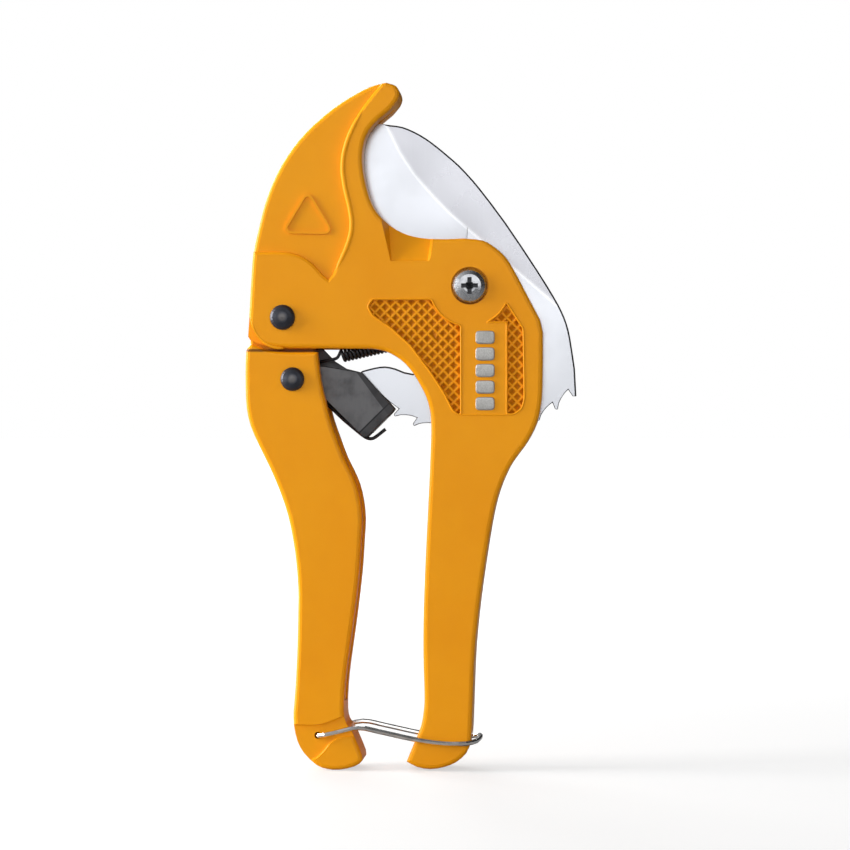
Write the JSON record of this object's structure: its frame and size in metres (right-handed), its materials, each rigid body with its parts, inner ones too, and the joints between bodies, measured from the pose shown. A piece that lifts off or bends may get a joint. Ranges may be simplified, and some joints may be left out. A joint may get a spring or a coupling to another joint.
{
  "type": "ratcheting plastic pipe cutter",
  "caption": "One-hand ratcheting cutter for plastic pipe: hooked die-cast body, swinging toothed blade, pawl-carrying handle and a wire latch that holds the handles shut.",
  "frame": {"origin": "on the flat rear side of the fixed handle, the face the tool is held by", "axes": "+Z from the feet of the handles to the tip of the hook, +X to the side the blade's back bulges out, +Y out of the rear side; the front with the knurled field faces -Y"},
  "size_m": [0.0926, 0.0217, 0.1922],
  "materials": {
    "orange_paint": "semi-gloss powder coat on die-cast aluminium, slight orange peel",
    "blade_steel": "ground and satin-polished hardened steel, bevel ground finer",
    "zinc_steel": "bright zinc-plated steel",
    "black_oxide": "blackened steel, smooth dome with soft sheen",
    "pawl_steel": "dark grey phosphated sheet steel",
    "spring_steel": "oiled black spring wire",
    "latch_wire": "bright nickel-plated spring wire"
  },
  "bodies": {
    "body": {"body": "orange_paint", "blade_screw": "zinc_steel", "blade_nut": "zinc_steel", "nut_washer": "zinc_steel", "blade_bush": "zinc_steel", "blade_washer_front": "zinc_steel", "blade_washer_rear": "zinc_steel", "handle_rivet": "black_oxide", "handle_rivet_washer": "zinc_steel", "hinge_washer_front": "zinc_steel", "hinge_washer_rear": "zinc_steel", "return_spring": "spring_steel"},
    "handle": {"moving_handle": "orange_paint", "pawl_rivet": "black_oxide", "pawl_rivet_washer": "zinc_steel", "pawl_sleeve": "zinc_steel", "pawl_spring": "spring_steel"},
    "blade": {"blade": "blade_steel"},
    "pawl": {"pawl": "pawl_steel"},
    "latch": {"latch_bail": "latch_wire"}
  },
  "joints": [
    {"name": "handle_open", "type": "hinge", "parent": "body", "child": "handle", "pos_m": [-0.0594, -0.0085, 0.03], "axis": [0, 1, 0], "range_deg": [0, 32], "deforming": ["return_spring"]},
    {"name": "blade_open", "type": "hinge", "parent": "body", "child": "blade", "pos_m": [-0.007, -0.0085, 0.0387], "axis": [0, 1, 0], "range_deg": [0, 74.07], "deforming": ["return_spring"]},
    {"name": "pawl_swing", "type": "hinge", "parent": "handle", "child": "pawl", "pos_m": [-0.0566, -0.0085, 0.0127], "axis": [0, 1, 0], "range_deg": [-4, 12], "deforming": ["pawl_spring"]},
    {"name": "latch_swing", "type": "hinge", "parent": "handle", "child": "latch", "pos_m": [-0.0496, -0.0085, -0.087], "axis": [0, 1, 0], "range_deg": [0, 128]}
  ],
  "couplings": [
    {"joint": "latch_swing", "follows": "handle_open", "ratio": 4}
  ]
}
